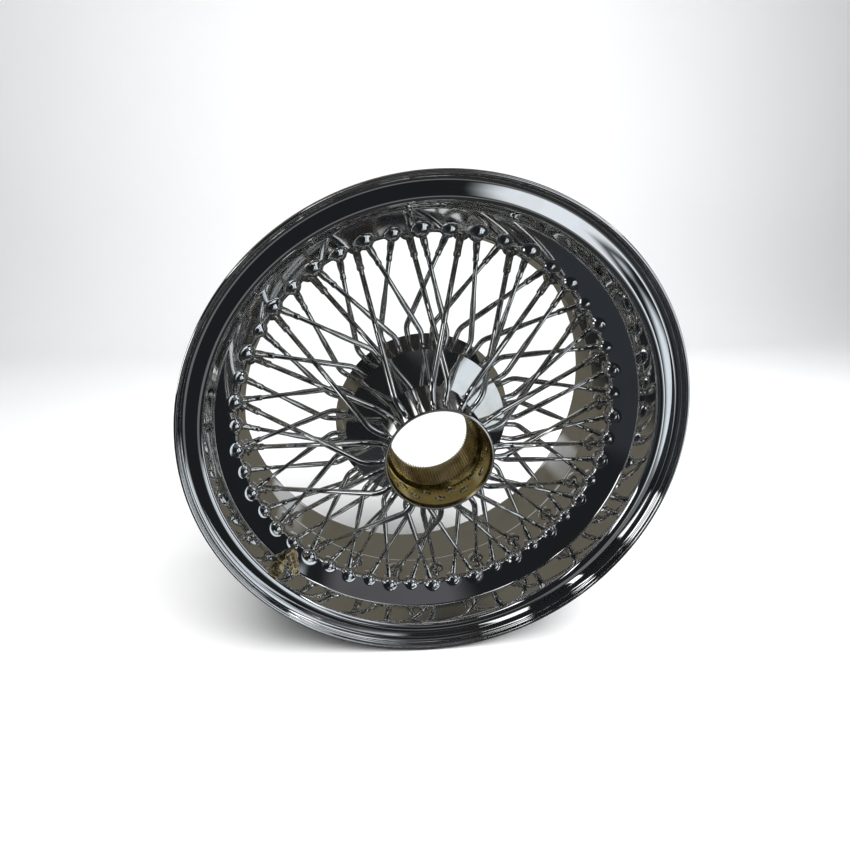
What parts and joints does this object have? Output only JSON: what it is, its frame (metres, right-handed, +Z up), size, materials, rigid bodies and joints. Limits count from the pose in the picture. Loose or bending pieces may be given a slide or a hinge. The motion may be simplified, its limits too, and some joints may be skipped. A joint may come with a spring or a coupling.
{
  "type": "wire wheel",
  "caption": "Chromed wire wheel with a drop-well rim, three rows of spokes and a splined centre-lock hub.",
  "frame": {"origin": "centre of the wheel: on the axle line, midway between the two rim edges", "axes": "+Y along the axle line towards the vehicle (the outer face with the nose looks along -Y), +Z up, +X to the right seen from the front"},
  "size_m": [0.4144, 0.1877, 0.4144],
  "materials": {
    "rim_chrome": "polished",
    "hub_chrome": "polished",
    "spoke_chrome": "polished",
    "nipple_metal": "dull plating",
    "spline_metal": "machined, thin gold-toned plating",
    "valve_brass": "machined",
    "spring_steel": "drawn wire",
    "valve_rubber": "matt",
    "band_rubber": "matt"
  },
  "bodies": {
    "wheel": {"rim": "rim_chrome", "rim_seal_band": "band_rubber", "hub_barrel": "hub_chrome", "hub_flange": "hub_chrome", "spline_sleeve": "spline_metal", "front_row_spokes": "spoke_chrome", "middle_row_spokes": "spoke_chrome", "nose_front_spokes": "spoke_chrome", "nose_rear_spokes": "spoke_chrome", "front_row_nipples": "nipple_metal", "middle_row_nipples": "nipple_metal", "rear_row_nipples_a": "nipple_metal", "rear_row_nipples_b": "nipple_metal", "valve_stem": "valve_brass", "valve_grommet": "valve_rubber", "valve_washer": "valve_brass", "valve_nut": "valve_brass", "valve_core": "valve_brass", "valve_core_seal": "valve_rubber", "valve_spring": "spring_steel"},
    "valve_pin": {"valve_pin": "valve_brass"}
  },
  "joints": [
    {"name": "valve_pin_press", "type": "slide", "parent": "wheel", "child": "valve_pin", "axis": [-0.2138, 0.9563, -0.1994], "range_m": [0, 0.0015], "stiffness_N_per_m": 300, "springref_m": -0.001}
  ]
}
